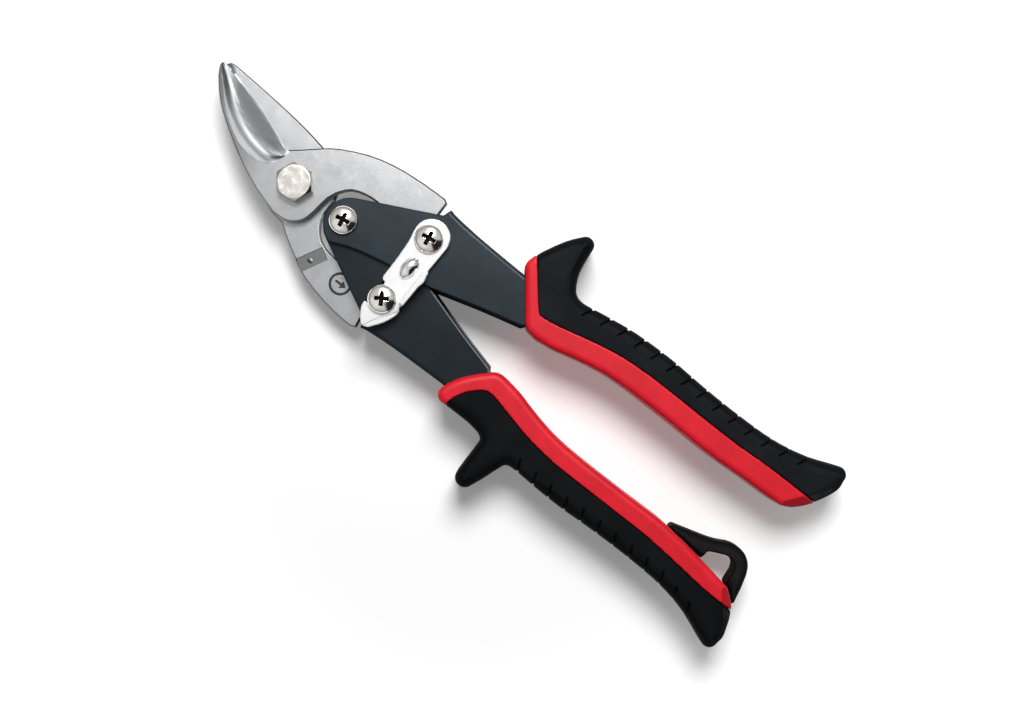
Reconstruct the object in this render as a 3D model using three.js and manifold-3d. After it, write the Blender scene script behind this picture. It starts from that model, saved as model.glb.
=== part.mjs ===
// Aviation snips with compound leverage: two forged blades on a hexagon bolt, each driven by
// a link pin on its own channel handle, the handles pivoted on each other in front of the pins.
// Lengths are millimetres. +X runs from the jaws to the grips, +Y to the upper handle, +Z to
// the side that carries the latch. The shear plane between the blades is z = 0.

import * as THREE from 'three';
import { mergeVertices } from 'three/addons/utils/BufferGeometryUtils.js';
import Module from 'manifold-3d';

const wasm = await Module();
wasm.setup();

// Linkage: the blade bolt is at x = 0, y = 0.
const handlePivotX = 20.9;
const linkPinX = 47.6;
const linkPinY = 12.7;

// Stack through the thickness, counted from the shear plane.
const bladeThickness = 4.6;
const shearGap = 0.05;
const runningGap = 0.25;
const seatGap = 0.1;
const sheetThickness = 1.8;
const gripHalfThickness = 11;
const coverRounding = 4;
const coreRounding = 2;
const sheetEdge = 0.5;
const bendRadius = 1.6;

// Pins, screws and the blade bolt.
const boltRadius = 4;
const boltHeadFlats = 11.6;
const boltHeadHeight = 5;
const washerRadius = 7.4;
const washerThickness = 1.2;
const nutFlats = 11.6;
const nutHeight = 4.95;
const postRadius = 2.6;
const postFlangeRadius = 4.6;
const postFlangeHeight = 1.5;
const screwHeadRadius = 4.9;
const screwHeadHeight = 2.9;
const screwRimHeight = 0.7;
const crossWidth = 1.5;
const crossReach = 3.1;
const crossDepth = 1.4;
const pinClearance = 0.15;
const openPinClearance = 0.45;
const sleeveWall = 0.35;
const sleeveRadius = postRadius + pinClearance + sleeveWall;
const bushWall = 2.15;
const bushRadius = postRadius + pinClearance + bushWall;
const latchWasherWidth = 2.45;
const latchWasherRadius = postRadius + pinClearance + latchWasherWidth;

// Opening spring.
const wireRadius = 0.9;
const springRadius = 6.6;
const springTurns = 2.5;
const springHalfRise = 3.3;
const springLegGap = 0.3;
const springLegPastPin = 4.3;
const springSteps = 24;
const wireSides = 6;

// Latch.
const latchThickness = 2;
const latchWasherThickness = 0.7;
const latchHeadRadius = 6.3;
const latchFlangeHeight = 2.4;
const latchSlotClearance = 0.35;
const latchTurnPerHandle = 2.25;

// Grips.
const seamGap = 0.15;
const armClearance = 0.3;
const ribCount = 14;
const ribFirstX = 103.5;
const ribPitch = 6.72;
const ribWidth = 0.6;
const ribDepth = 0.6;
const ribReach = 3.5;
const ribSlant = 3.6;
const upperGuardY = 43.6;
const lowerGuardY = 42.9;
const seamEndX = 214;
const endFacetX = 201.2;
const endFacetY = 25.1;
const endFacetTurn = -38;
const endFacetTilt = 36;
const loopHalfThickness = 6;
const loopRounding = 2;

// Levels that follow from the stack.
const bladeInner = shearGap;
const bladeOuter = shearGap + bladeThickness;
const innerEarInside = bladeOuter + runningGap;
const innerEarOutside = innerEarInside + sheetThickness;
const outerEarInside = innerEarOutside + runningGap;
const outerEarOutside = outerEarInside + sheetThickness;
const latchUnder = outerEarOutside + latchWasherThickness + 2 * seatGap;
const latchTop = latchUnder + latchThickness;
const cutAll = 40;
const smallestEdge = 0.02;
const arcStep = 15;

const finish = {
  blade: new THREE.MeshStandardMaterial({ color: 0xb9bcbf, roughness: 0.38, metalness: 1 }),
  plated: new THREE.MeshStandardMaterial({ color: 0xe2e0da, roughness: 0.2, metalness: 1 }),
  latch: new THREE.MeshStandardMaterial({ color: 0xeceef0, roughness: 0.22, metalness: 0.9 }),
  painted: new THREE.MeshStandardMaterial({ color: 0x252d38, roughness: 0.45, metalness: 0.3 }),
  spring: new THREE.MeshStandardMaterial({ color: 0x8d9196, roughness: 0.35, metalness: 1 }),
  core: new THREE.MeshStandardMaterial({ color: 0xd8222c, roughness: 0.42, metalness: 0 }),
  cover: new THREE.MeshStandardMaterial({ color: 0x121416, roughness: 0.75, metalness: 0 }),
};

// Outlines: each item is a corner [x, y], or { curve: [...] } for a smooth run through points,
// or { arc: [cx, cy, radius, fromDegrees, toDegrees] }.
function outline(items, stepsPerPoint = 2) {
  const shape = new THREE.Shape();
  shape.moveTo(...items[0]);
  for (const item of items.slice(1)) {
    if (Array.isArray(item)) {
      shape.lineTo(...item);
    } else if (item.curve) {
      shape.splineThru(item.curve.map(([x, y]) => new THREE.Vector2(x, y)));
    } else {
      arcPoints(...item.arc).forEach((point) => shape.lineTo(...point));
    }
  }
  const points = shape.getPoints(stepsPerPoint);
  const apart = points.filter((point, i) => point.distanceTo(points.at(i - 1)) > smallestEdge);
  return new THREE.Shape(apart);
}

function arcPoints(cx, cy, radius, from, to) {
  const steps = Math.ceil(Math.abs(to - from) / arcStep);
  return Array.from({ length: steps + 1 }, (_, i) => {
    const angle = rad(from + (to - from) * i / steps);
    return [cx + radius * Math.cos(angle), cy + radius * Math.sin(angle)];
  });
}

function rad(degrees) {
  return degrees * Math.PI / 180;
}

// A flat plate from one level to another, with its edges rounded by edge in so many steps.
function plate(shape, low, high, { edge = 0, steps = 1, inset = 0 } = {}) {
  const contour = shape.getPoints();
  if (THREE.ShapeUtils.isClockWise(contour)) {
    contour.reverse();
  }
  const levels = [];
  const quarters = edge > 0 ? steps : 0;
  for (let i = 0; i <= quarters; i += 1) {
    const angle = quarters ? rad(90 * i / quarters) : 0;
    levels.push([inset + edge * (1 - Math.sin(angle)), edge * (1 - Math.cos(angle))]);
  }
  const rings = [
    ...levels.map(([shift, rise]) => insetRing(contour, shift, low + rise)),
    ...levels.toReversed().map(([shift, rise]) => insetRing(contour, shift, high - rise)),
  ];
  return skin(rings, THREE.ShapeUtils.triangulateShape(contour, []));
}

// The contour moved inwards, each corner at most as far as its two sides have room for.
function insetRing(contour, shift, z) {
  const count = contour.length;
  const sides = contour.map((point, i) => contour[(i + 1) % count].clone().sub(point));
  const bends = contour.map((_, i) => {
    const before = sides[(i + count - 1) % count];
    return Math.tan(Math.atan2(before.cross(sides[i]), before.dot(sides[i])) / 2);
  });
  const room = sides.map((side, i) => {
    const closing = bends[i] + bends[(i + 1) % count];
    return closing > 0 ? 0.8 * side.length() / closing : Infinity;
  });
  return contour.map((point, i) => {
    const move = Math.min(shift, room[i], room[(i + count - 1) % count]);
    const along = sides[i].clone().normalize();
    return new THREE.Vector3(
      point.x - move * (along.y - along.x * bends[i]),
      point.y + move * (along.x + along.y * bends[i]),
      z,
    );
  });
}

// A skin over rings of points that all have the same count, closed by flat faces at both ends.
function skin(rings, endFaces) {
  const count = rings[0].length;
  const index = [];
  for (let r = 0; r + 1 < rings.length; r += 1) {
    for (let k = 0; k < count; k += 1) {
      const a = r * count + k;
      const b = r * count + (k + 1) % count;
      index.push(a, b, b + count, a, b + count, a + count);
    }
  }
  const last = (rings.length - 1) * count;
  for (const [a, b, c] of endFaces) {
    index.push(a, c, b, last + a, last + b, last + c);
  }
  const geometry = new THREE.BufferGeometry();
  const positions = rings.flat().flatMap((point) => point.toArray());
  geometry.setAttribute('position', new THREE.Float32BufferAttribute(positions, 3));
  geometry.setIndex(index);
  return geometry;
}

// Closed geometry to a solid for cutting and joining, facing outwards whatever way it was wound.
function solid(geometry) {
  const bare = geometry.clone();
  bare.deleteAttribute('normal');
  bare.deleteAttribute('uv');
  const merged = mergeVertices(bare, 1e-4);
  const points = merged.attributes.position;
  const triangles = withoutSlivers(merged.index.array);
  if (signedVolume(points, triangles) < 0) {
    triangles.reverse();
  }
  return new wasm.Manifold(new wasm.Mesh({
    numProp: 3,
    vertProperties: new Float32Array(points.array),
    triVerts: new Uint32Array(triangles),
  }));
}

// Where an outline repeats a point, the triangles that merged to a line are dropped.
function withoutSlivers(index) {
  const kept = [];
  for (let i = 0; i < index.length; i += 3) {
    const [a, b, c] = index.slice(i, i + 3);
    if (a !== b && b !== c && c !== a) {
      kept.push(a, b, c);
    }
  }
  return kept;
}

function signedVolume(points, triangles) {
  const corner = [0, 1, 2].map(() => new THREE.Vector3());
  let volume = 0;
  for (let i = 0; i < triangles.length; i += 3) {
    corner.forEach((point, k) => point.fromBufferAttribute(points, triangles[i + k]));
    volume += corner[0].dot(corner[1].clone().cross(corner[2])) / 6;
  }
  return volume;
}

function solidPlate(shape, low, high, options) {
  return solid(plate(shape, low, high, options));
}

function cylinder(x, y, radius, low, high, sides = 24) {
  const geometry = new THREE.CylinderGeometry(radius, radius, high - low, sides);
  geometry.rotateX(Math.PI / 2);
  return solid(geometry.translate(x, y, (low + high) / 2));
}

function box(x0, x1, y0, y1, z0, z1) {
  const geometry = new THREE.BoxGeometry(x1 - x0, y1 - y0, z1 - z0);
  return solid(geometry.translate((x0 + x1) / 2, (y0 + y1) / 2, (z0 + z1) / 2));
}

// A turned piece: the profile is [radius, z] pairs, from the axis and back to it.
function turned(x, y, profile, sides = 28) {
  const points = profile.map(([radius, z]) => new THREE.Vector2(radius, z));
  const geometry = new THREE.LatheGeometry(points, sides);
  geometry.rotateX(Math.PI / 2);
  return solid(geometry.translate(x, y, 0));
}

// A skin over rings that are convex enough to be closed by a fan at each end.
function loft(rings) {
  const fan = rings[0].slice(2).map((_, k) => [0, k + 1, k + 2]);
  return skin(rings, fan);
}

function geometryOf(body) {
  const { vertProperties, numProp, triVerts } = body.getMesh();
  const geometry = new THREE.BufferGeometry();
  const positions = [];
  for (let i = 0; i < vertProperties.length; i += numProp) {
    positions.push(vertProperties[i], vertProperties[i + 1], vertProperties[i + 2]);
  }
  geometry.setAttribute('position', new THREE.Float32BufferAttribute(positions, 3));
  geometry.setIndex(Array.from(triVerts));
  const flat = geometry.toNonIndexed();
  flat.computeVertexNormals();
  return flat;
}

function mirrorY(body) {
  return body.mirror([0, 1, 0]);
}

function mirrorZ(body) {
  return body.mirror([0, 0, 1]);
}

// Blades

const throat = [-9.6, 6.8];
const frontCut = [[-44.4, 17.5], [-38.4, 16.3], [-26.3, 12.9], [-16.2, 9.1], throat];
const rearCut = [[-45.1, 16.9], [-38.4, 14.9], [-26.3, 11], [-16.2, 6.3], [-9.4, 2.6]];
const tailNotchX = 44.4;
const tailHeadRadius = 6.4;
const pivotBossRadius = 12.6;
const archRadius = 11.3;

function frontBladeShape() {
  return outline([
    frontCut[0],
    { curve: frontCut.slice(1) },
    { curve: [[-6.1, 9.6], [-1.1, 14], [3.9, 17.9], [13.9, 22.8], [23.9, 25.4], [34, 26.5], [43, 26.8]] },
    [tailNotchX, 26],
    [tailNotchX, 19.6],
    { curve: [[48.5, 19.4], [52.2, 17.4], [54, linkPinY]] },
    { arc: [linkPinX, linkPinY, tailHeadRadius, 0, -100] },
    { curve: [[40, 8], [33, 10.4], [26, 11.7], [20.2, 11.1], [15.4, 8.9], [11.9, 3.4], [10.9, -3]] },
    { curve: [[9.6, -8.3], [5.4, -12], [-0.4, -12.5]] },
    { curve: [[-10.4, -9.5], [-20.5, -4.9], [-28.8, 0], [-35.6, 4.6], [-40.2, 8.9], [-43.3, 12.6]] },
    { curve: [[-44.6, 14.8], [-45, 16.3], [-44.9, 17.2]] },
  ]);
}

function rearBladeShape() {
  return outline([
    [-45.1, 16.9],
    { curve: rearCut.slice(1) },
    { curve: [[-10, -2], [-8.5, -9], [-2.5, -12.6], [3.5, -13.6]] },
    { curve: [[8.9, -17.2], [14, -20], [22.1, -23.9], [34.7, -26.5], [43.4, -27]] },
    [45.4, -26.2],
    [tailNotchX, -19.6],
    { curve: [[48.5, -19.4], [52.2, -17.4], [54, -linkPinY]] },
    { arc: [linkPinX, -linkPinY, tailHeadRadius, 0, 100] },
    { curve: [[40, -8], [33, -10.6], [26, -11.9], [20, -11], [15.6, -8], [13.3, -3.2], [13.2, 3]] },
    { curve: [[11, 8.4], [5.4, 12.4], [-1.5, 15.4]] },
    { curve: [[-11.6, 17], [-26.8, 18.3], [-42, 19.1]] },
    [-43.6, 18.8],
  ]);
}

// The hollow ground beside a cutting edge: a level floor, and an easy fillet up to the
// blade's flat face. Made for a blade in front of the shear plane.
function jawHollow(edgeLine, bandLine) {
  const edge = new THREE.SplineCurve(edgeLine.map(([x, y]) => new THREE.Vector2(x, y)));
  const band = new THREE.SplineCurve(bandLine.map(([x, y]) => new THREE.Vector2(x, y)));
  const stations = 20;
  const profile = [
    [-0.25, bladeOuter + 2], [-0.25, 2.3], [0.1, 2.4], [0.5, 2.46], [0.7, 2.53], [0.8, 2.67], [0.88, 2.92],
    [0.94, 3.25], [1, 3.6], [1.06, 3.94], [1.13, 4.26], [1.2, 4.47], [1.28, 4.6], [1.34, bladeOuter],
    [1.36, bladeOuter + 2],
  ];
  const rings = [];
  for (let i = 0; i <= stations; i += 1) {
    const from = edge.getPointAt(i / stations);
    const to = band.getPointAt(i / stations);
    rings.push(profile.map(([along, z]) => {
      const point = from.clone().lerp(to, along);
      return new THREE.Vector3(point.x, point.y, z);
    }));
  }
  return solid(loft(rings));
}

function frontBlade() {
  const edgeLine = [[-45.2, 17.6], [-38.4, 16.3], [-26.3, 12.9], [-16.2, 9.1], [-8.4, 6.6]];
  const bandLine = [[-44.2, 15.9], [-40.7, 13], [-36.9, 9.9], [-33.1, 7], [-28.9, 4.6], [-24.8, 2.6],
    [-21.3, 1.4], [-17.2, 0.8], [-13.8, 0.7], [-11, 2.1], [-8.6, 4.9]];
  const hollow = jawHollow(edgeLine, bandLine);
  return solidPlate(frontBladeShape(), bladeInner, bladeOuter, { edge: 0.45 })
    .add(cylinder(linkPinX, linkPinY, 4.4, bladeOuter - 0.5, outerEarInside - seatGap))
    .subtract(hollow)
    .subtract(cylinder(0, 0, boltRadius + pinClearance, -cutAll, cutAll))
    .subtract(cylinder(linkPinX, linkPinY, postRadius + pinClearance, -cutAll, cutAll));
}

const latchMark = {
  x: 19.2, y: -17.5, length: 10.6, width: 4.6, turn: 62, depth: 0.35, punch: 1.25, punchDepth: 0.8,
};
const ringMark = { x: 32.2, y: -17.7, radius: 3.9, line: 0.7, depth: 0.4 };

// Pressed marks on the tail: a sunk pad with a centre punch, and a plain ring round an arrow.
function tailMarks() {
  const pad = new THREE.BoxGeometry(latchMark.length, latchMark.width, 2 * latchMark.depth);
  pad.rotateZ(rad(latchMark.turn)).translate(latchMark.x, latchMark.y, -bladeInner);
  const ring = cylinder(ringMark.x, ringMark.y, ringMark.radius, -bladeInner - ringMark.depth, 1)
    .subtract(cylinder(ringMark.x, ringMark.y, ringMark.radius - ringMark.line, -cutAll, cutAll));
  const shaft = box(ringMark.x - 2, ringMark.x + 1, ringMark.y - 0.3, ringMark.y + 0.3,
    -bladeInner - ringMark.depth, 1);
  const head = outline([
    [ringMark.x + 0.4, ringMark.y + 1.3],
    [ringMark.x + 2.2, ringMark.y],
    [ringMark.x + 0.4, ringMark.y - 1.3],
  ]);
  const floor = -bladeInner - latchMark.depth;
  const punch = turned(latchMark.x, latchMark.y, [
    [0, floor - latchMark.punchDepth], [latchMark.punch, floor + 0.01], [0, floor + 0.01],
  ], 16);
  return solid(pad)
    .add(punch)
    .add(ring)
    .add(shaft)
    .add(solidPlate(head, -bladeInner - ringMark.depth, 1));
}

function rearBlade() {
  const bandLine = [[-43.2, 17.5], [-38, 17.1], [-30, 15.4], [-22, 13.2], [-15, 11], [-11.2, 8.8], [-9, 6.2]];
  const edgeLine = [[-44.4, 16.6], [-38.4, 14.9], [-26.3, 11], [-16.2, 6.3], [-8.6, 2.2]];
  const hollow = mirrorZ(jawHollow(edgeLine, bandLine));
  return solidPlate(rearBladeShape(), -bladeOuter, -bladeInner, { edge: 0.45 })
    .subtract(hollow)
    .subtract(tipFacet())
    .subtract(tailMarks())
    .subtract(cylinder(0, 0, boltRadius + pinClearance, -cutAll, cutAll))
    .subtract(cylinder(linkPinX, -linkPinY, postRadius + openPinClearance, -cutAll, cutAll));
}

// The slanted facet that thins the rear jaw's tip on its shear side.
function tipFacet() {
  const crease = [[-43, 20], [-38.6, 16], [-37.4, 14.4]];
  const low = crease.map(([x, y]) => [x - 9, y - 4]);
  const ring = ([x, y], [lowX, lowY]) => [
    new THREE.Vector3(x, y, -bladeInner),
    new THREE.Vector3(lowX, lowY, -bladeInner - 2.6),
    new THREE.Vector3(lowX, lowY, 1),
    new THREE.Vector3(x, y, 1),
  ];
  return solid(loft(crease.map((point, i) => ring(point, low[i]))));
}

// Blade bolt, washer and nut

function hexagon(x, y, flats, turn = 0) {
  const radius = flats / Math.sqrt(3);
  const points = Array.from({ length: 6 }, (_, k) => {
    const angle = rad(60 * k + turn);
    return [x + radius * Math.cos(angle), y + radius * Math.sin(angle)];
  });
  return outline(points);
}

// Hexagon prism whose corners are turned down to a cone on its outer side.
function hexPrism(flats, low, high, turn) {
  const cornerRadius = flats / Math.sqrt(3);
  const slope = 0.55;
  const cone = turned(0, 0, [
    [0, low], [cornerRadius + 1, low], [cornerRadius + 1, high - (cornerRadius + 1 - flats * 0.47) * slope],
    [flats * 0.47, high], [0, high],
  ], 48);
  return solidPlate(hexagon(0, 0, flats, turn), low, high).intersect(cone);
}

const hexTurn = 8;
const nutTop = bladeOuter + washerThickness + 2 * seatGap;

function pivotBolt() {
  const under = bladeOuter + seatGap;
  return hexPrism(boltHeadFlats, under, under + boltHeadHeight, hexTurn)
    .add(cylinder(0, 0, boltRadius, -nutTop - nutHeight, under + 0.5));
}

function pivotWasher() {
  return cylinder(0, 0, washerRadius, -bladeOuter - seatGap - washerThickness, -bladeOuter - seatGap, 40)
    .subtract(cylinder(0, 0, boltRadius + pinClearance, -cutAll, cutAll));
}

function pivotNut() {
  return mirrorZ(hexPrism(nutFlats, nutTop, nutTop + nutHeight, hexTurn))
    .subtract(cylinder(0, 0, boltRadius + pinClearance, -cutAll, cutAll));
}

// Screws with a domed head and a cross recess, and the flanged posts behind them

function domeProfile(under) {
  const steps = 6;
  const crown = screwHeadHeight - screwRimHeight;
  const profile = [[0, under], [screwHeadRadius, under], [screwHeadRadius, under + screwRimHeight]];
  for (let i = 1; i < steps; i += 1) {
    const angle = rad(90 * i / steps);
    profile.push([screwHeadRadius * Math.cos(angle), under + screwRimHeight + crown * Math.sin(angle)]);
  }
  profile.push([0, under + screwHeadHeight]);
  return profile;
}

function screw(x, y, under, turn) {
  const top = under + screwHeadHeight;
  const bar = new THREE.BoxGeometry(2 * crossReach, crossWidth, 2 * crossDepth);
  const first = solid(bar.clone().rotateZ(rad(turn)).translate(x, y, top));
  const second = solid(bar.clone().rotateZ(rad(turn + 90)).translate(x, y, top));
  return turned(x, y, domeProfile(under))
    .subtract(first)
    .subtract(second);
}

// The post runs through the whole stack, with its flange behind and the screw's head in front.
function post(x, y, back, front) {
  return turned(x, y, [
    [0, -back - seatGap - postFlangeHeight],
    [postFlangeRadius - 0.5, -back - seatGap - postFlangeHeight],
    [postFlangeRadius, -back - seatGap - postFlangeHeight + 0.5],
    [postFlangeRadius, -back - seatGap],
    [postRadius, -back - seatGap],
    [postRadius, front],
    [0, front],
  ], 24);
}

function ring(x, y, outer, inner, low, high, sides = 20) {
  return cylinder(x, y, outer, low, high, sides)
    .subtract(cylinder(x, y, inner, -cutAll, cutAll));
}

// Opening spring: one wire, the turns and two legs that leave them straight and pass just
// inside the link sleeves.

const pinAngle = Math.atan2(linkPinY, linkPinX - handlePivotX);
const pinDistance = Math.hypot(linkPinX - handlePivotX, linkPinY);
const legFromPin = sleeveRadius + springLegGap + wireRadius;
const legSplay = pinAngle - Math.asin((springRadius + legFromPin) / pinDistance);
const springLegLength = Math.sqrt(pinDistance ** 2 - (springRadius + legFromPin) ** 2) + springLegPastPin;

function springLeg(share, side) {
  const along = springLegLength * share;
  return new THREE.Vector3(
    along * Math.cos(legSplay) - springRadius * Math.sin(legSplay),
    side * (along * Math.sin(legSplay) + springRadius * Math.cos(legSplay)),
    -side * springHalfRise,
  );
}

function springPath() {
  const sweep = 2 * Math.PI * springTurns - 2 * legSplay;
  const steps = Math.round(springTurns * springSteps);
  const turns = Array.from({ length: steps + 1 }, (_, i) => {
    const angle = rad(-90) - legSplay - sweep * i / steps;
    return new THREE.Vector3(
      springRadius * Math.cos(angle),
      springRadius * Math.sin(angle),
      springHalfRise - 2 * springHalfRise * i / steps,
    );
  });
  return [
    ...[1, 0.66, 0.33].map((share) => springLeg(share, -1)),
    ...turns,
    ...[0.33, 0.66, 1].map((share) => springLeg(share, 1)),
  ];
}

function wireRings(points) {
  const up = new THREE.Vector3(0, 0, 1);
  return points.map((point, i) => {
    const before = points[Math.max(i - 1, 0)];
    const after = points[Math.min(i + 1, points.length - 1)];
    const along = after.clone().sub(before).normalize();
    const side = up.clone().cross(along).normalize();
    const over = along.clone().cross(side);
    return Array.from({ length: wireSides }, (_, k) => {
      const angle = 2 * Math.PI * (k + 0.5) / wireSides;
      return point.clone()
        .addScaledVector(side, wireRadius * Math.cos(angle))
        .addScaledVector(over, wireRadius * Math.sin(angle));
    });
  });
}

// Least gap between stretches of the wire that are more than half a turn apart.
function springGap(points) {
  const apart = springSteps / 2;
  let least = Infinity;
  for (let i = 0; i < points.length; i += 1) {
    for (let j = i + apart; j < points.length; j += 1) {
      least = Math.min(least, points[i].distanceTo(points[j]));
    }
  }
  return least - 2 * wireRadius;
}

function openingSpring() {
  const points = springPath();
  console.log(`opening_spring least gap to itself ${springGap(points).toFixed(2)} mm`);
  return loft(wireRings(points)).translate(handlePivotX, 0, 0);
}

// Handles: a channel of two ears and the web that joins them along the outer side, drawn for
// the upper handle and mirrored for the lower one.

const earNoseRadius = 9.1;
const earNoseX = handlePivotX + 2.6;
const earNoseFrom = 114;
const earNoseTo = 256;
const webStartX = 47.3;
const armEndX = 190;

function earShape(innerEdgeShift) {
  const drop = innerEdgeShift;
  return outline([
    [earNoseX + 0.2, -earNoseRadius + 1.4 - drop],
    { curve: [[30, -5.2 - drop], [42.7, -2.3 - drop], [57.8, 0.1 - drop]] },
    { curve: [[75, 5.2 - drop], [89.8, 9 - drop]] },
    { curve: [[93, 11.6], [100, 12.6], [112, 14], [130, 16.4], [150, 16.6], [armEndX, 17.4]] },
    [armEndX + 2, 20],
    [armEndX + 2, 25.5],
    { curve: [[armEndX, 27.4], [150, 27.2], [120, 26.8], [98, 23.6], [80, 23]] },
    { curve: [[62, 23.5], [51, 24.3], [webStartX, 25]] },
    [webStartX - 1, 21.9],
    [earNoseX + 1.6, 11.2],
    { arc: [earNoseX, 0.2, earNoseRadius, earNoseFrom, earNoseTo] },
  ]);
}

// The strip between the ears' outer edge and a line one sheet inside it.
function webShape() {
  const t = sheetThickness;
  return outline([
    [webStartX, 25],
    { curve: [[51, 24.3], [62, 23.5], [80, 23]] },
    { curve: [[98, 23.6], [120, 26.8], [150, 27.2], [armEndX, 27.4]] },
    [armEndX, 27.4 - t],
    { curve: [[150, 27.2 - t], [120, 26.8 - t], [98, 23.6 - t], [80, 23 - t]] },
    { curve: [[62, 23.5 - t], [51, 24.3 - t], [webStartX, 25 - t]] },
  ]);
}

// Everything on the inner side of the web's outer line, with the bends rounded along it.
function bendEnvelope(outside) {
  const shape = outline([
    [0, -30],
    [0, 30],
    [webStartX - 8, 27.2],
    { curve: [[webStartX, 25], [51, 24.3], [62, 23.5], [80, 23]] },
    { curve: [[98, 23.6], [120, 26.8], [150, 27.2], [armEndX, 27.4]] },
    [armEndX + 12, 27.4],
    [armEndX + 12, -30],
  ]);
  return solidPlate(shape, -outside, outside, { edge: bendRadius, steps: 3 });
}

const rearEarOverhang = 0.8;

function channel(inside, outside) {
  const holes = [[handlePivotX, 0], [linkPinX, linkPinY]];
  const front = solidPlate(earShape(0), inside, outside, { edge: sheetEdge });
  const rear = solidPlate(earShape(rearEarOverhang), -outside, -inside, { edge: sheetEdge });
  const web = solidPlate(webShape(), -outside, outside);
  let body = front.add(rear).add(web).intersect(bendEnvelope(outside));
  for (const [x, y] of holes) {
    body = body.subtract(cylinder(x, y, postRadius + pinClearance, -cutAll, cutAll));
  }
  return body;
}

// Latch: a pressed strip with a hooked end, a thumb flange on one side and a pressed grip bump.

const latchHeadX = linkPinX + 0.4;
const latchHeadY = linkPinY + 0.8;

function latchShape() {
  return outline([
    [41.7, latchHeadY],
    { curve: [[41.9, 11.6], [42.6, 8.2], [43.1, 1.3], [43.1, -6.1]] },
    { curve: [[43.6, -7.3], [44.9, -7.8]] },
    [44.9, -13],
    [43.3, -15.7],
    { curve: [[43.4, -18.4], [44.8, -20.9], [46.6, -23.1], [48, -23.7], [49.6, -23.1]] },
    { curve: [[52.7, -18.9], [54.6, -14.8], [54.7, -12.6]] },
    [54, -11.6],
    [54.6, -10.4],
    [54.8, -2.5],
    { curve: [[55.3, 0.2], [54.6, 3.2]] },
    [54, 4],
    [latchHeadX + latchHeadRadius, latchHeadY],
    { arc: [latchHeadX, latchHeadY, latchHeadRadius, 0, 180] },
  ]);
}

// Where the lower link pin is, seen from the latch, when the handles are opened by an angle.
function pinSeenFromLatch(handleAngle) {
  const pivot = new THREE.Vector2(handlePivotX, 0);
  const hinge = new THREE.Vector2(linkPinX, linkPinY);
  const pin = new THREE.Vector2(linkPinX, -linkPinY).rotateAround(pivot, -handleAngle);
  return pin.rotateAround(hinge, -latchTurnPerHandle * handleAngle);
}

function latchSlot() {
  const radius = postRadius + latchSlotClearance;
  const steps = 5;
  let slot = cylinder(linkPinX, -linkPinY, radius, latchUnder - 1, latchTop + 1);
  for (let i = 0; i < steps; i += 1) {
    const from = pinSeenFromLatch(rad(2 * i));
    const to = pinSeenFromLatch(rad(2 * i + 2));
    const way = to.clone().sub(from);
    const strip = new THREE.BoxGeometry(way.length() + 0.02, 2 * radius, latchThickness + 2);
    strip.rotateZ(way.angle());
    strip.translate((from.x + to.x) / 2, (from.y + to.y) / 2, (latchUnder + latchTop) / 2);
    slot = slot
      .add(solid(strip))
      .add(cylinder(to.x, to.y, radius, latchUnder - 1, latchTop + 1));
  }
  return slot;
}

const bumpX = 48.4;
const bumpY = 0.9;
const bumpLength = 8.6;
const bumpWidth = 5.4;
const bumpHeight = 2.1;

function thumbBump() {
  const dome = new THREE.SphereGeometry(1, 20, 12);
  dome.scale(bumpWidth / 2, bumpLength / 2, bumpHeight);
  dome.rotateZ(rad(-4)).translate(bumpX, bumpY, latchTop);
  const below = box(bumpX - 9, bumpX + 9, bumpY - 9, bumpY + 9, latchUnder - 4, latchTop - 0.3);
  return solid(dome).subtract(below);
}

function latch() {
  const flange = outline([
    [52.8, -10.2], [54.6, -10.2], [54.8, -2.5], { curve: [[55.3, 0.2], [54.6, 3]] }, [52.9, 3],
  ]);
  return solidPlate(latchShape(), latchUnder, latchTop, { edge: 0.3 })
    .add(solidPlate(flange, latchTop - 0.6, latchTop + latchFlangeHeight, { edge: 0.25 }))
    .add(thumbBump())
    .subtract(latchSlot())
    .subtract(cylinder(linkPinX, linkPinY, postRadius + pinClearance, -cutAll, cutAll));
}

// Grips, drawn for the upper handle; the lower one is drawn the same way and then mirrored.

const outerEdge = [[109.3, 29], [119.4, 30.5], [129.4, 31.1], [138.7, 31.1], [150.8, 30.5], [165.1, 30.3],
  [179.5, 30.9], [191.6, 33.3], [202.4, 37.4]];
const gripEndTip = { arc: [204.1, 34.9, 3, 108, -8] };
const gripEnd = [[207.4, 31.6], [206.2, 27.8], [203.2, 22.2], [198.9, 17.2], [195, 15]];
const innerEdge = [[189.6, 14.6], [179.6, 14.3], [165.3, 13.6], [149.5, 13.9], [129.5, 13.8], [119, 12.8],
  [110, 10.9], [103.5, 9.2], [96.6, 8.2]];

function upperGripShape() {
  return outline([
    [89.5, 10.8],
    [78.3, 25.2],
    { curve: [[78, 27.2], [78.7, 30]] },
    { curve: [[80.6, 34.4], [84.2, 41], [87.6, upperGuardY + 1.7]] },
    { arc: [90, upperGuardY, 2.9, 140, -4] },
    { curve: [[93.5, 38], [94.6, 33.6], [97.4, 28.9], [100.8, 27.7], [104.3, 28.1]] },
    { curve: outerEdge },
    gripEndTip,
    { curve: gripEnd },
    { curve: innerEdge },
    { curve: [[92.6, 8.6], [90.9, 9.4], [89.5, 10.8]] },
  ]);
}

const lowerEndX = 202.4;
const lowerEndY = 21;

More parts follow.
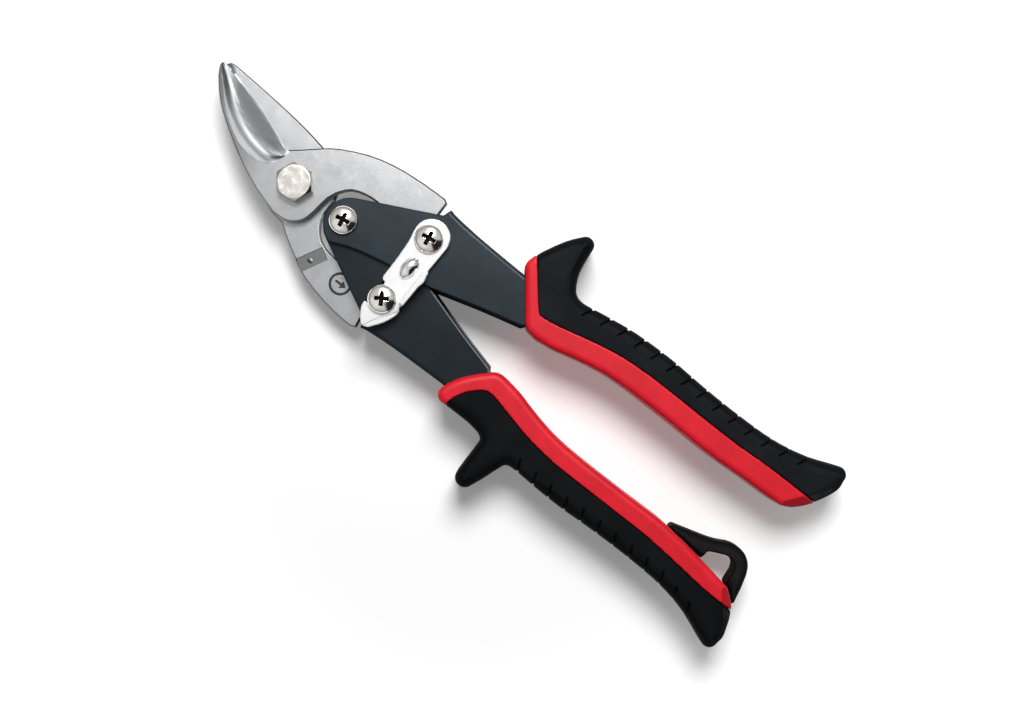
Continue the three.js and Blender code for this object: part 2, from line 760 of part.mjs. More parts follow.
function lowerGripShape() {
  return outline([
    [90.6, 10.3],
    { curve: [[86.8, 14.3], [84, 17.9], [81.9, 21.8]] },
    { arc: [84.2, 24.8, 3, 192, 94] },
    { curve: [[90, 27.7], [96, 27.8], [100.2, 28.4]] },
    { curve: [[102.1, 29.6], [102.5, 32], [102.6, 39.2], [102.7, lowerGuardY - 0.3]] },
    { arc: [106.1, lowerGuardY, 3.4, 180, 12] },
    { curve: [[111, 39.8], [113.2, 33.4], [114.6, 31], [118.4, 30.6]] },
    { curve: outerEdge.slice(2) },
    gripEndTip,
    { curve: gripEnd.slice(0, 2) },
    { curve: [[204.8, 24.4], [lowerEndX, lowerEndY]] },
    [lowerEndX - 4.4, lowerEndY - 3.4],
    { curve: [[185.3, 15.6], [172, 14], [165.3, 13.6]] },
    { curve: innerEdge.slice(3) },
    { curve: [[94.4, 8.2], [92.3, 8.9], [90.6, 10.3]] },
  ]);
}

// Seams: the red core lies on the inner side of the line, and the black cover outside it.
const upperSeam = [[79.4, 30.6], [84.6, 24.2], [91.3, 16.3], [93.4, 15.5], [99.4, 16.4], [109.3, 18.8],
  [119.2, 20.9], [129.2, 22], [143, 22.2], [168.9, 22], [178.9, 22.5], [190, 22.8], [seamEndX, 22.6]];
const lowerSeam = [[85.9, 30.5], [86, 25.6], [88.2, 20.8], [91.6, 17], [95.4, 15.2], [103.9, 16.9],
  [112.5, 18.9], [121, 20.1], [129.5, 20.7], [149.4, 20.7], [165, 20.7], [179.3, 21.7], [193.5, 22.9],
  [seamEndX, 23]];

function coreSide(seam, shift) {
  const [first, ...others] = seam.map(([x, y]) => [x, y - shift]);
  return outline([
    [first[0] - 14, first[1] + 3],
    first,
    { curve: others },
    [seamEndX, -2],
    [first[0] - 14, -2],
  ]);
}

function ribCuts(firstRib) {
  const [firstX, firstY] = outerEdge[0];
  const [lastX, lastY] = outerEdge.at(-1);
  const band = outline([
    [firstX - 13.3, firstY - 17],
    [firstX - 13.3, firstY - 0.6],
    { curve: outerEdge.slice(0, -1) },
    [lastX - 2.4, lastY - 0.8],
    [lastX - 2.4, firstY - 17],
  ]);
  const inner = solidPlate(band, -gripHalfThickness + ribDepth, gripHalfThickness - ribDepth,
    { edge: coverRounding, steps: 3, inset: ribDepth });
  const edge = new THREE.SplineCurve(outerEdge.map(([x, y]) => new THREE.Vector2(x, y)));
  let cuts = null;
  for (let i = firstRib; i < ribCount; i += 1) {
    const x = ribFirstX + ribPitch * i;
    const share = THREE.MathUtils.clamp((x - firstX) / (lastX - firstX), 0, 1);
    const top = edge.getPoint(share).y + 3;
    const bottom = top - 3 - ribReach;
    const half = ribWidth / 2;
    const groove = outline([
      [x - half, bottom], [x + half, bottom], [x + half + ribSlant, top], [x - half + ribSlant, top],
    ]);
    const cut = solidPlate(groove, -gripHalfThickness - 1, gripHalfThickness + 1).subtract(inner);
    cuts = cuts ? cuts.add(cut) : cut;
  }
  return cuts;
}

// The room for a handle's arm: its wider ear, grown all round by the clearance.
function armPocket(outside) {
  const half = outside + armClearance;
  return solidPlate(earShape(rearEarOverhang), -half, half, { inset: -armClearance });
}

// The slanted facets across a grip's end, one falling away from each face.
function endFacets() {
  const wedge = new THREE.BoxGeometry(20, 60, 20);
  wedge.translate(10, 0, 10).rotateY(rad(endFacetTilt)).rotateZ(rad(endFacetTurn));
  const facet = solid(wedge.translate(endFacetX, endFacetY, gripHalfThickness));
  return facet.add(mirrorZ(facet));
}

// A grip's whole form with its edges rounded so far, hollowed for the arm inside it.
function gripBody(gripShape, rounding, outside) {
  return solidPlate(gripShape, -gripHalfThickness, gripHalfThickness, { edge: rounding, steps: 3 })
    .subtract(armPocket(outside))
    .subtract(endFacets());
}

function gripPair(gripShape, seam, outside, firstRib) {
  const inside = solidPlate(coreSide(seam, seamGap / 2), -cutAll, cutAll);
  const beyond = solidPlate(coreSide(seam, -seamGap / 2), -cutAll, cutAll);
  return {
    core: gripBody(gripShape, coreRounding, outside).intersect(inside),
    cover: gripBody(gripShape, coverRounding, outside).subtract(beyond).subtract(ribCuts(firstRib)),
  };
}

function hangLoop() {
  const loop = outline([
    [171, 13.9],
    [171.4, 12.4],
    { curve: [[175.5, 11.2], [184.8, 8.4], [189.8, 5.9]] },
    { curve: [[191.9, 5.2], [194.1, 5], [197, 5.7], [199.5, 7.7], [201, 10.4]] },
    { curve: [[202.4, 15.4], [203.6, 21]] },
    [lowerEndX - 0.2, lowerEndY - 0.7],
    [lowerEndX - 4.2, lowerEndY - 3.8],
    { curve: [[185.3, 15.2], [176, 14]] },
  ]);
  const hole = outline([
    [185.3, 18],
    [185.5, 12.1],
    { curve: [[186.9, 11.2], [191.2, 9.2]] },
    { curve: [[193.4, 8.9], [195.4, 9.4], [196.7, 10.7], [197.4, 12.8]] },
    [197.7, 18],
  ]);
  return solidPlate(loop, -loopHalfThickness, loopHalfThickness, { edge: loopRounding, steps: 2 })
    .subtract(solidPlate(hole, -cutAll, cutAll));
}

const group = new THREE.Group();

function add(name, body, material) {
  const geometry = body.isBufferGeometry ? body : geometryOf(body);
  const mesh = new THREE.Mesh(geometry, material);
  mesh.name = name;
  group.add(mesh);
}

const frontOfPost = { handlePivot: outerEarOutside, upperLink: latchTop, lowerLink: latchTop };
const upperGrip = gripPair(upperGripShape(), upperSeam, outerEarOutside, 0);
const lowerGrip = gripPair(lowerGripShape(), lowerSeam, innerEarOutside, 2);

add('front_blade', frontBlade(), finish.blade);
add('rear_blade', rearBlade(), finish.blade);
add('pivot_bolt', pivotBolt(), finish.plated);
add('pivot_washer', pivotWasher(), finish.plated);
add('pivot_nut', pivotNut(), finish.plated);
add('upper_handle', channel(outerEarInside, outerEarOutside), finish.painted);
add('lower_handle', mirrorY(channel(innerEarInside, innerEarOutside)), finish.painted);
add('handle_pivot_post', post(handlePivotX, 0, outerEarOutside, frontOfPost.handlePivot), finish.plated);
add('handle_pivot_screw', screw(handlePivotX, 0, frontOfPost.handlePivot + seatGap, 10), finish.plated);
add('spring_bush', ring(handlePivotX, 0, bushRadius, postRadius + pinClearance,
  -innerEarInside + seatGap, innerEarInside - seatGap), finish.plated);
add('opening_spring', openingSpring(), finish.spring);
add('upper_link_post', post(linkPinX, linkPinY, outerEarOutside, frontOfPost.upperLink), finish.plated);
add('upper_link_screw', screw(linkPinX, linkPinY, frontOfPost.upperLink + seatGap, 8), finish.plated);
add('upper_link_sleeve', ring(linkPinX, linkPinY, sleeveRadius, postRadius + pinClearance,
  -outerEarInside + seatGap, bladeInner - seatGap), finish.plated);
add('latch_washer', ring(linkPinX, linkPinY, latchWasherRadius, postRadius + pinClearance,
  outerEarOutside + seatGap, outerEarOutside + seatGap + latchWasherThickness), finish.plated);
add('lower_link_post', post(linkPinX, -linkPinY, innerEarOutside, frontOfPost.lowerLink), finish.plated);
add('lower_link_screw', screw(linkPinX, -linkPinY, frontOfPost.lowerLink + seatGap, 32), finish.plated);
add('lower_link_sleeve', ring(linkPinX, -linkPinY, sleeveRadius, postRadius + pinClearance,
  -bladeInner + seatGap, innerEarInside - seatGap), finish.plated);
add('latch', latch(), finish.latch);
add('upper_grip_core', upperGrip.core, finish.core);
add('upper_grip_cover', upperGrip.cover, finish.cover);
add('lower_grip_core', mirrorY(lowerGrip.core), finish.core);
add('lower_grip_cover', mirrorY(lowerGrip.cover), finish.cover);
add('hang_loop', mirrorY(hangLoop()), finish.cover);

// The origin is under the middle of the snips, on the surface that they lie on.
const extent = new THREE.Box3().setFromObject(group);
const middle = extent.getCenter(new THREE.Vector3());
group.position.set(-middle.x, -middle.y, -extent.min.z);
group.updateMatrixWorld(true);

export default group;
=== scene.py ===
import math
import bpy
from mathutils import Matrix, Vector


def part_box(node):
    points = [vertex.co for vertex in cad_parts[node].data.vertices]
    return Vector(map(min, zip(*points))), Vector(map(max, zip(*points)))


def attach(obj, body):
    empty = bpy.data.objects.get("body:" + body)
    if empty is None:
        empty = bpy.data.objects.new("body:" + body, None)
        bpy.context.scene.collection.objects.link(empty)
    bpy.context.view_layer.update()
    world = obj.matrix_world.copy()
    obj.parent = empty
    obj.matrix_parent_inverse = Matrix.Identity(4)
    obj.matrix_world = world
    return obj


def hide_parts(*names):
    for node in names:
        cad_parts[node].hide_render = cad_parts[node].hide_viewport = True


bl_info = {
    "name": "Aviation snips",
    "version": (1, 0, 0),
    "blender": (4, 5, 0),
    "location": "View3D > Sidebar > Snips",
    "description": "Finishes a pair of aviation snips in forged, plated, painted and moulded pieces",
    "category": "Add Mesh",
}

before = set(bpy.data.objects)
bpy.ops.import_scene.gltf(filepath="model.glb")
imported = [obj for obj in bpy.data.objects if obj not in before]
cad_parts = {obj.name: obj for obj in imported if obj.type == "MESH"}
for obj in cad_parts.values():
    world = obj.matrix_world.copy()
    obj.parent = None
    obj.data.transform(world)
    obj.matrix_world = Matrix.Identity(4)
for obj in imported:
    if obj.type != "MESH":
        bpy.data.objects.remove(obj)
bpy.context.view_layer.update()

import bpy
from mathutils import Vector

MM = 0.001
SHEAR_GAP = 0.05 * MM
WELD = 0.004 * MM


def middle(node):
    """Centre of a node's box in the row frame."""
    low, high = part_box(node)
    return (low + high) / 2


BOLT_AXIS = middle("pivot_bolt")
HANDLE_AXIS = middle("handle_pivot_screw")
UPPER_LINK_AXIS = middle("upper_link_screw")
LOWER_LINK_AXIS = middle("lower_link_screw")
BLADE_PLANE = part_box("front_blade")[0].z - SHEAR_GAP

# The blades' zones: each pair says where a soft border starts and ends. Places along X are measured from
# the bolt, heights from the shear plane outwards, and reaches from the centre of the crest's arc.
JAW_X = (-10 * MM, -8 * MM)
TIP_X = (-26 * MM, -9 * MM)
JAW_END_X = (-41 * MM, -32 * MM)
GROUND_HEIGHT = (3.3 * MM, 4.1 * MM)
EDGE_HEIGHT = (0.2 * MM, 0.5 * MM)
CREST_CENTRE = BOLT_AXIS + Vector((-12.7, 36.5, 0)) * MM
HOLLOW_REACH = (34 * MM, 35.3 * MM)
RING_REACH = (35.2 * MM, 36.8 * MM)
FILLET_REACH = (41 * MM, 43 * MM)

# Depths of the marks in the rear blade: the pad's floor, the stamped lines' floor and the punch's.
MARK_TOP = (0.12 * MM, 0.3 * MM)
LINE_FLOOR = (0.38 * MM, 0.46 * MM)
PUNCH_FLOOR = (0.75 * MM, 0.9 * MM)
MARK_END = (1.1 * MM, 1.3 * MM)

# The rear blade's edge beside the upper handle's nose, whose flank gets painted light: its middle, its
# radius and its lower end.
NOSE_EDGE = Vector((HANDLE_AXIS.x, HANDLE_AXIS.y - 9 * MM, 11 * MM))
NOSE_EDGE_RADIUS = (14 * MM, 15 * MM)
NOSE_EDGE_Y = (NOSE_EDGE.y - 5.2 * MM, NOSE_EDGE.y - 4.6 * MM)

# How far each zone's colour is scaled from the blade's face, as painted shade or light save the pad's
# own tone, and the way that the flanks with the darkest painted shade look.
RING_PAINTED_SHADE = 0.58
CREASE_PAINTED_SHADE = 0.37
JAW_END_PAINTED_SHADE = 0.36
MARK_TONE_AND_SHADE = 0.45
LINE_PAINTED_SHADE = 0.12
PUNCH_PAINTED_HIGHLIGHT = 1.8
FLANK_PAINTED_SHADE = 0.3
LIT_FLANK_PAINTED_SHADE = 0.06
NOSE_EDGE_PAINTED_LIGHT = 2.2
LIT_FLANK_WAY = (0.12, 0.99, 0)

# Colours that are the same whatever finish is chosen: the painted shade in the screws' recesses, the
# painted highlight on the handles' edges and the wire's two tones.
RECESS_PAINTED_SHADE = (0.012, 0.011, 0.01)
EDGE_HIGHLIGHT_PAINT = (0.16, 0.17, 0.175)
WIRE_DARK = (0.3, 0.3, 0.31)
WIRE_LIGHT = (0.46, 0.46, 0.47)

# The hexagon of the bolt and its nut, and the cone that their corners are turned down to.
HEXAGON_FLATS = 11.6 * MM
HEXAGON_TURN = math.radians(-22)
HEAD_HEIGHT = 5 * MM
HEAD_RIM = 5.45 * MM
NUT_RIM = 5.3 * MM
CONE_SLOPE = 0.55
CONE_GROWTH = 2 * MM
SHANK_RADIUS = 4 * MM
SHANK_SINK = 0.4 * MM
NUT_BORE = 4.15 * MM

# The upright rim under a screw head's dome.
SCREW_RIM = 0.7 * MM

# The opening spring: its coil, and how far its legs run beside and past the upper link's axis.
COIL_RADIUS = 6.6 * MM
COIL_RISE = 3.3 * MM
COIL_TURNS = 2.5
COIL_STEPS = 48
LEG_BESIDE_PIN = 4.3 * MM
LEG_PAST_PIN = 4.3 * MM

# The latch's thumb bump: its centre, half its width and half its length.
BUMP_CENTRE = (UPPER_LINK_AXIS.x + 0.8 * MM, (UPPER_LINK_AXIS.y + LOWER_LINK_AXIS.y) / 2 + 0.9 * MM, 0)
BUMP_HALVES = (2.8 * MM, 4.4 * MM)

# The grooves across the grips' outer edges. Each runs on the face at these distances in mm from the
# edge, slanting along the grip, and down the side at these shares of its height, where it is shallow.
FIRST_RIB = HANDLE_AXIS.x + 84.5 * MM
RIB_COUNT = 14
RIB_BACKS = (4.5, 3.6, 2.7, 1.9, 1.2, 0.7)
RIB_SLANT = 0.45
RIB_SIDE_SHARES = (0.86, 0.74, 0.5)
RIB_PROUD = 0.15 * MM

# Where the rays that look for the grips' surface start, well outside it.
RAY_ABOVE = 60 * MM
RAY_ASIDE = 80 * MM

# Each grip's hand, the side of its cover, its first groove and how far its black is scaled: the two
# covers are one rubber, lighter and darker as painted light and shade.
GRIPS = (("upper", 1, 0, 0.65), ("lower", -1, 2, 0.3))
# The painted shade inside the grips' grooves, as a share of their black.
GROOVE_PAINTED_SHADE = 0.1

# How far the hanging loop's faces are moved out, into the grip that it is moulded on.
LOOP_EASE = 0.35 * MM

# The facets across the grips' ends: how far they lean from the face, and which way.
END_TILT = math.radians(36)
END_TURN = math.radians(38)

# Each handle's share of the paint's colour, its gloss and the strength of the painted highlight on its
# edges; the lower handle's smaller share is painted shade.
HANDLES = (("upper_handle", 1, 0.25, 0), ("lower_handle", 0.55, 0.19, 0.9))

# The picture's up and right directions on the floor: the snips lie 38 degrees off its width.
VIEW_TURN = math.radians(38.06)
PICTURE_RIGHT = Vector((math.cos(VIEW_TURN), math.sin(VIEW_TURN), 0))
PICTURE_UP = Vector((-math.sin(VIEW_TURN), math.cos(VIEW_TURN), 0))

# The stage in metres and watts. A lamp has its places right, up and high, its size and its power.
CAMERA_PLACE = (13.06 * MM, -2.17 * MM, 536 * MM)
LENS = 54.2
FLOOR_SIZE = 6
FLOOR_DROP = 0.05 * MM
LAMPS = (("key", 0.09, 0.455, 0.78, 0.4, 10.1), ("fill", -0.6, -0.3, 0.8, 0.9, 0.5))
BOARD_TURN = math.radians(-38)


class SnipsSizes(bpy.types.PropertyGroup):
    """Sizes of the edges, recesses and roundings that are added to the frame's pieces."""

    edge_break: bpy.props.FloatProperty(
        name="Edge break", description="Bevel on pressed and ground edges",
        default=0.12 * MM, unit="LENGTH",
    )
    moulding_voxel: bpy.props.FloatProperty(
        name="Moulding voxel", description="Grid on which the moulded pieces are rebuilt",
        default=0.36 * MM, unit="LENGTH",
    )
    recess_width: bpy.props.FloatProperty(
        name="Recess width", description="Width of one arm of the screws' cross recess",
        default=1.75 * MM, unit="LENGTH",
    )
    recess_reach: bpy.props.FloatProperty(
        name="Recess reach", description="Length of one arm of the cross recess from the screw's axis",
        default=3.8 * MM, unit="LENGTH",
    )
    recess_depth: bpy.props.FloatProperty(
        name="Recess depth", description="Depth of the cross recess under the crown",
        default=1.5 * MM, unit="LENGTH",
    )
    wire_radius: bpy.props.FloatProperty(
        name="Wire radius", description="Radius of the opening spring's wire",
        default=0.9 * MM, unit="LENGTH",
    )
    rib_pitch: bpy.props.FloatProperty(
        name="Rib pitch", description="Distance between the grooves along a grip",
        default=6.72 * MM, unit="LENGTH",
    )
    rib_radius: bpy.props.FloatProperty(
        name="Rib radius", description="Radius of the round tool that cuts the grips' grooves",
        default=0.56 * MM, unit="LENGTH",
    )
    rib_sink: bpy.props.FloatProperty(
        name="Rib sink", description="Depth of the groove tool's axis under the grip's face",
        default=0.34 * MM, unit="LENGTH",
    )


def colour(name, description, red, green, blue):
    return bpy.props.FloatVectorProperty(
        name=name, description=description, subtype="COLOR", size=3, default=(red, green, blue),
    )


class SnipsColours(bpy.types.PropertyGroup):
    """Base colours of the finishes."""

    forged: colour("Forged steel", "Satin face of the blades", 0.44, 0.445, 0.45)
    # The hollow's colour is partly the ground steel's own tone and partly painted shade.
    hollow: colour("Ground hollow", "Darker ground hollow beside the cutting edge", 0.125, 0.13, 0.13)
    plated: colour("Plated steel", "Bolt, screws and posts", 0.9, 0.87, 0.81)
    zinc: colour("Latch zinc", "White zinc of the latch", 0.9, 0.9, 0.9)
    paint: colour("Handle paint", "Blue-black paint of the channel handles", 0.007, 0.0145, 0.022)
    red: colour("Red grip", "Moulded inner half of the grips", 0.62, 0.009, 0.021)
    black: colour("Black grip", "Soft outer half of the grips", 0.012, 0.0145, 0.017)
    loop: colour("Hang loop", "Moulded hanging loop", 0.009, 0.009, 0.01)


class Wire:
    """A shader socket. Arithmetic on it adds Math nodes to its finish."""

    def __init__(self, finish, socket):
        self.finish = finish
        self.socket = socket

    def maths(self, operation, first, second):
        return self.finish.node("ShaderNodeMath", {"operation": operation}, {0: first, 1: second})

    def __add__(self, other):
        return self.maths("ADD", self, other)

    def __radd__(self, other):
        return self.maths("ADD", other, self)

    def __sub__(self, other):
        return self.maths("SUBTRACT", self, other)

    def __rsub__(self, other):
        return self.maths("SUBTRACT", other, self)

    def __mul__(self, other):
        return self.maths("MULTIPLY", self, other)

    def __rmul__(self, other):
        return self.maths("MULTIPLY", other, self)


class Finish:
    """One procedural material and the nodes that make it."""

    def __init__(self, name, kind="materials", shader="Principled BSDF", place="Object"):
        self.material = getattr(bpy.data, kind).new(name)
        self.material.use_nodes = True
        self.tree = self.material.node_tree
        self.shader = self.tree.nodes[shader]
        self.place = self.node("ShaderNodeTexCoord", output=place)

    def node(self, kind, settings=None, inputs=None, output=0):
        """Adds a node of any kind, sets it up, joins its inputs and returns one of its outputs."""
        made = self.tree.nodes.new(kind)
        for key, value in (settings or {}).items():
            setattr(made, key, value)
        for key, value in (inputs or {}).items():
            self.join(made.inputs[key], value)
        return Wire(self, made.outputs[output])

    def join(self, socket, value):
        if isinstance(value, Wire):
            self.tree.links.new(value.socket, socket)
        elif hasattr(value, "__len__") and len(value) == 3 and socket.type == "RGBA":
            socket.default_value = (*value, 1)
        else:
            socket.default_value = value

    def set(self, **sockets):
        """Sets or joins the shader's sockets, named with underscores for spaces."""
        for key, value in sockets.items():
            self.join(self.shader.inputs[key.replace("_", " ")], value)

    def axis(self, name, vector=None):
        return self.node("ShaderNodeSeparateXYZ", inputs={0: vector or self.place}, output=name)

    def vectors(self, operation, first, second=None, output=0):
        """Vector Math whose result is a vector."""
        inputs = {0: first} if second is None else {0: first, 1: second}
        return self.node("ShaderNodeVectorMath", {"operation": operation}, inputs, output)

    def measure(self, operation, first, second=None):
        """Vector Math whose result is a number, such as a length."""
        return self.vectors(operation, first, second, "Value")

    def noise(self, scale, detail=3, rough=0.5, where=None):
        """Noise from 0 to 1, with scale in grains per metre."""
        return self.node(
            "ShaderNodeTexNoise", {},
            {"Vector": where or self.place, "Scale": scale, "Detail": detail, "Roughness": rough},
        )

    def turned(self, angle, stretch):
        """Object coordinates turned about Z and stretched, for a grain that has a direction."""
        return self.node(
            "ShaderNodeMapping", {},
            {"Vector": self.place, "Rotation": (0, 0, angle), "Scale": stretch},
        )

    def step(self, value, low, high):
        """0 below low and 1 above high, smooth between them."""
        return self.node(
            "ShaderNodeMapRange", {"interpolation_type": "SMOOTHSTEP"},
            {"Value": value, "From Min": low, "From Max": high},
        )

    def blend(self, share, first, second):
        return self.node(
            "ShaderNodeMix", {"data_type": "RGBA"}, {0: share, 6: first, 7: second}, output=2,
        )

    def bump(self, height, distance, strength=1.0):
        return self.node(
            "ShaderNodeBump", {}, {"Height": height, "Distance": distance, "Strength": strength},
        )


def faces_up(finish, low=0.55, high=0.9):
    """1 on faces that look along the pivots' axis, either way, and 0 on flanks."""
    up = finish.axis("Z", finish.node("ShaderNodeNewGeometry", output="True Normal"))
    return finish.step(up * up, low, high)


def facing(finish, way, low, high):
    """1 on faces whose normal is close to a direction, told by the cosine between them."""
    normal = finish.node("ShaderNodeNewGeometry", output="True Normal")
    return finish.step(finish.measure("DOT_PRODUCT", normal, way), low, high)


def scaled(shade, factor):
    return tuple(min(1.0, part * factor) for part in shade)


def blade_zones(finish, height, side):
    """Masks of a blade's zones by name. Height is measured from the shear plane outwards."""
    from_bolt = finish.axis("X") - BOLT_AXIS.x
    level = finish.vectors("MULTIPLY", finish.vectors("SUBTRACT", finish.place, CREST_CENTRE), (1, 1, 0))
    reach = finish.measure("LENGTH", level)
    jaw = 1 - finish.step(from_bolt, *JAW_X)
    above = finish.step(height, *EDGE_HEIGHT)
    ring = finish.step(reach, *RING_REACH)
    fillet = jaw * above * (1 - finish.step(reach, *FILLET_REACH))
    flank = (1 - faces_up(finish, 0.93, 0.985)) * (1 - fillet)
    near_nose = 1 - finish.step(finish.measure("DISTANCE", finish.place, NOSE_EDGE), *NOSE_EDGE_RADIUS)
    return {
        "ground": jaw * above * (1 - finish.step(height, *GROUND_HEIGHT)),
        "hollow": 1 - finish.step(reach, *HOLLOW_REACH),
        "ring": (1 - finish.step(from_bolt, *TIP_X)) * above * ring,
        "fillet": fillet,
        "slope": fillet * (1 - faces_up(finish, 0.985, 0.9985)),
        "crease": fillet * (1 - faces_up(finish, 0.992, 0.9998)) * ring,
        "jaw end": above * (1 - finish.step(from_bolt, *JAW_END_X)),
        "mark": (1 - jaw) * finish.step(height, *MARK_TOP) * (1 - finish.step(height, *MARK_END)),
        "flank": flank,
        "lit flank": flank * facing(finish, LIT_FLANK_WAY, 0.05, 0.3),
        "nose edge": max(0, -side) * near_nose * finish.step(finish.axis("Y"), *NOSE_EDGE_Y),
    }


def forged_steel(name, face, hollow, side):
    """Blasted steel, smoother in the hollow that is ground beside the cutting edge and darker there,
    partly by the ground's own tone and partly by painted shade, with painted shade and light in the
    other zones.
    """
    finish = Finish(name)
    height = (finish.axis("Z") - BLADE_PLANE) * side
    zones = blade_zones(finish, height, side)
    blast = finish.noise(2600, 4, 0.6)
    cloud = finish.noise(170, 4, 0.6)
    streak = finish.noise(1, 4, 0.6, finish.turned(math.radians(35), (90, 2400, 300)))
    shade = finish.blend(finish.step(cloud, 0.3, 0.7), scaled(face, 0.93), scaled(face, 1.07))
    shade = finish.blend(0.16 * finish.step(blast, 0.35, 0.65), shade, scaled(face, 1.3))
    # The hollow's grinding streaks are real; its darkness is partly painted shade.
    ground_streaks_and_shade = finish.blend(finish.step(streak, 0.3, 0.7), scaled(hollow, 0.8), scaled(hollow, 1.35))
    shade = finish.blend(zones["ground"] * zones["hollow"], shade, ground_streaks_and_shade)
    for share, tone in (
        # Painted shade on the outer side of the crest, which holds back the highlight there.
        (zones["ring"], RING_PAINTED_SHADE),
        # Painted shade on the fillet's slopes at the crest, which holds back their second highlight.
        (zones["crease"], CREASE_PAINTED_SHADE),
        # Painted shade towards the jaw's end.
        (0.85 * zones["jaw end"], JAW_END_PAINTED_SHADE),
        # The sunk pad is darker, partly its own rough tone and partly painted shade in the recess.
        (0.85 * zones["mark"], MARK_TONE_AND_SHADE),
        # Painted shade in the floors of the stamped lines.
        (zones["mark"] * finish.step(height, *LINE_FLOOR), LINE_PAINTED_SHADE),
        # A painted highlight in the punch's floor.
        (zones["mark"] * finish.step(height, *PUNCH_FLOOR), PUNCH_PAINTED_HIGHLIGHT),
        # Painted shade on the flanks.
        (0.6 * zones["flank"], FLANK_PAINTED_SHADE),
        # Deep painted shade on the flanks that face the lamp, which holds back their highlight.
        (0.97 * zones["lit flank"] * (1 - zones["nose edge"]), LIT_FLANK_PAINTED_SHADE),
        # Painted light on the rear blade's flank beside the upper handle's nose.
        (zones["lit flank"] * zones["nose edge"], NOSE_EDGE_PAINTED_LIGHT),
    ):
        shade = finish.blend(share, shade, scaled(face, tone))
    ground = zones["ground"]
    relief = blast * (1 - 0.8 * ground) * (1 - 0.5 * zones["fillet"]) + 0.5 * ground * streak
    finish.set(
        Base_Color=shade, Metallic=1.0,
        Roughness=0.205 + 0.08 * blast + 0.29 * zones["slope"] + 0.29 * zones["flank"],
        Normal=finish.bump(relief, 0.03 * MM, 0.55),
    )
    return finish.material


def under_crown(finish, crown):
    """1 inside a domed head's recess, from the head's centre and its radius and height."""
    centre, radius, height = crown
    away = finish.vectors("SUBTRACT", finish.place, centre)
    shrunk = finish.vectors("MULTIPLY", away, (1 / radius, 1 / radius, 1 / height))
    above = finish.step(finish.axis("Z", shrunk), 0.02, 0.1)
    return above * (1 - finish.step(finish.measure("LENGTH", shrunk), 0.93, 0.985))


def plated_steel(name, shade, rough=0.14, pits=0.0, crown=None):
    """Bright plate with faint handling marks and, on the bolt, small pits and painted shade on its
    flanks, and on a screw painted shade in its recess.
    """
    finish = Finish(name)
    cloud = finish.noise(420, 4, 0.6)
    scratch = finish.noise(1, 3, 0.6, finish.turned(math.radians(20), (300, 6000, 1500)))
    pit = finish.step(finish.noise(1500, 2, 0.5), 0.66, 0.72)
    tone = finish.blend(finish.step(cloud, 0.35, 0.65), scaled(shade, 0.93), shade)
    tone = finish.blend(pits * pit, tone, scaled(shade, 0.45))
    # Painted shade on the bolt's and nut's flanks.
    if pits:
        tone = finish.blend(0.85 * (1 - faces_up(finish)), tone, scaled(shade, 0.16))
    # Painted shade, nearly black, in the screw's cross recess.
    if crown:
        tone = finish.blend(under_crown(finish, crown), tone, RECESS_PAINTED_SHADE)
    finish.set(
        Base_Color=tone, Metallic=1.0, Roughness=rough + 0.1 * finish.step(cloud, 0.4, 0.75),
        Normal=finish.bump(0.25 * scratch - pits * pit, 0.03 * MM, 0.5),
    )
    return finish.material


def latch_zinc(name, shade):
    """White zinc plate over a pressed strip, worn bright and smooth on its thumb bump."""
    finish = Finish(name)
    away = finish.vectors("SUBTRACT", finish.place, BUMP_CENTRE)
    oval = finish.vectors("MULTIPLY", away, (1 / BUMP_HALVES[0], 1 / BUMP_HALVES[1], 0))
    bump = 1 - finish.step(finish.measure("LENGTH", oval), 0.92, 1.04)
    grain = finish.noise(1, 4, 0.6, finish.turned(0, (2600, 260, 2600)))
    cloud = finish.noise(300, 3, 0.5)
    tone = finish.blend(finish.step(cloud, 0.35, 0.7), scaled(shade, 0.95), shade)
    finish.set(
        Base_Color=tone, Metallic=0.45 + 0.55 * bump, Roughness=0.17 + 0.1 * grain - 0.12 * bump,
        Normal=finish.bump(grain, 0.012 * MM, 0.4),
    )
    return finish.material


def handle_paint(name, shade, gloss, painted_sheen):
    """Satin blue-black paint with a faint orange peel and dust, and a painted highlight on the edges
    towards +Y.
    """
    finish = Finish(name)
    cloud = finish.noise(60, 4, 0.6)
    peel = finish.noise(1500, 2, 0.4)
    dust = finish.step(finish.noise(5200, 2, 0.5), 0.68, 0.78)
    tone = finish.blend(finish.step(cloud, 0.3, 0.7), scaled(shade, 0.8), scaled(shade, 1.25))
    tone = finish.blend(0.35 * dust, tone, scaled(shade, 4))
    # A painted highlight on the bend facets that face +Y, on the lamp's side.
    edge = faces_up(finish, 0.15, 0.35) * (1 - faces_up(finish, 0.8, 0.95))
    tone = finish.blend(painted_sheen * edge * facing(finish, (0, 1, 0), 0.3, 0.6), tone, EDGE_HIGHLIGHT_PAINT)
    finish.set(
        Base_Color=tone, Metallic=0.0, Roughness=0.28 + 0.1 * cloud + 0.4 * (1 - faces_up(finish)),
        Specular_IOR_Level=gloss,
        Normal=finish.bump(peel, 0.02 * MM, 0.35),
    )
    return finish.material


def red_moulding(name, shade, end):
    """Satin red plastic, mottled a little by the mould, with painted shade on the facet across its end.
    """
    finish = Finish(name)
    cloud = finish.noise(90, 4, 0.6)
    grain = finish.noise(3200, 3, 0.6)
    tone = finish.blend(finish.step(cloud, 0.3, 0.7), scaled(shade, 0.9), scaled(shade, 1.08))
    # Painted shade on the facet across the grip's end.
    tone = finish.blend(0.8 * facing(finish, end, 0.965, 0.985), tone, scaled(shade, 0.55))
    finish.set(
        Base_Color=tone, Metallic=0.0, Roughness=0.4 + 0.12 * grain, Specular_IOR_Level=0.22,
        Normal=finish.bump(grain, 0.02 * MM, 0.35),
    )
    return finish.material


